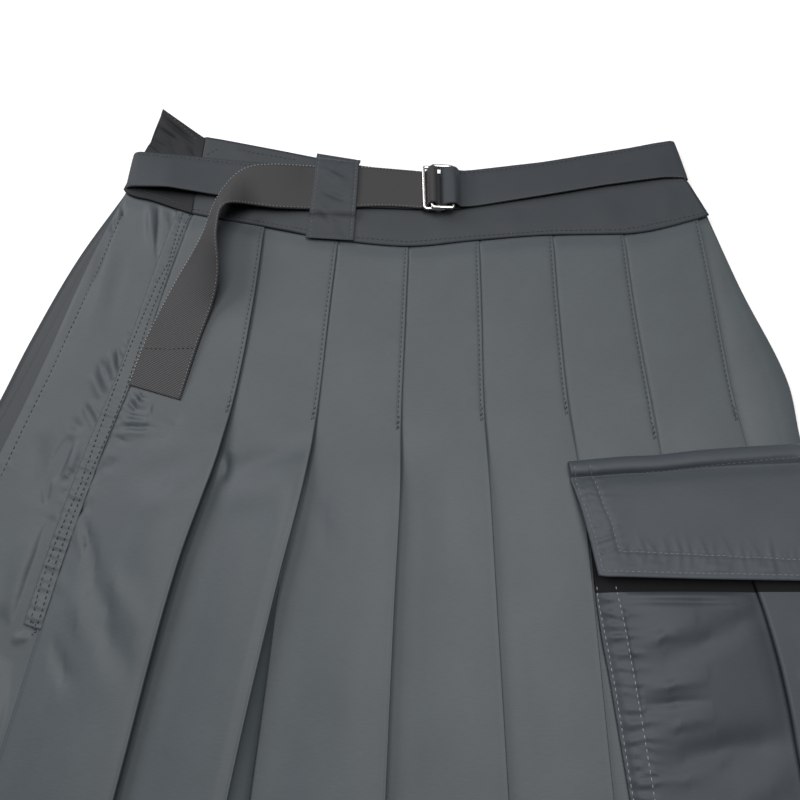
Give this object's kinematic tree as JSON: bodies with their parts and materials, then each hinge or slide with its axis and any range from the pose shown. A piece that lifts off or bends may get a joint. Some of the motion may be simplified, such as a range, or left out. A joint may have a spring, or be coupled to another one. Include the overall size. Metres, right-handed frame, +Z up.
{
  "type": "cargo utility skirt",
  "caption": "Pleated satin skirt laid flat, with a belt through two rings, a placket seam at the left and a flapped cargo pocket at the right.",
  "frame": {"origin": "on the surface the skirt lies on, under the middle of its flat underside", "axes": "+X to the right of the front as it is seen from above, +Y towards the waist, +Z up from the surface"},
  "size_m": [0.6743, 0.6398, 0.0288],
  "materials": {
    "satin": "woven nylon satin, soft sheen",
    "band_satin": "woven nylon satin, soft sheen",
    "pocket_satin": "woven nylon satin, soft sheen",
    "webbing": "twill webbing, matte",
    "ring_metal": "polished nickel plate"
  },
  "bodies": {
    "root": {"back_panel": "satin", "left_under_pleat": "satin", "front_left_panel": "satin", "placket_strip": "satin", "front_pleated": "satin", "waistband_back": "band_satin", "waistband_front": "band_satin", "waistband_left_end": "band_satin", "belt_front_left": "band_satin", "belt_front_right": "band_satin", "belt_back": "band_satin", "belt_free_end": "webbing", "belt_loop_front": "band_satin", "belt_loop_back_left": "band_satin", "belt_loop_back_right": "band_satin", "ring_lower": "ring_metal", "ring_upper": "ring_metal", "pocket_body": "pocket_satin", "pocket_flap": "pocket_satin"}
  },
  "joints": []
}
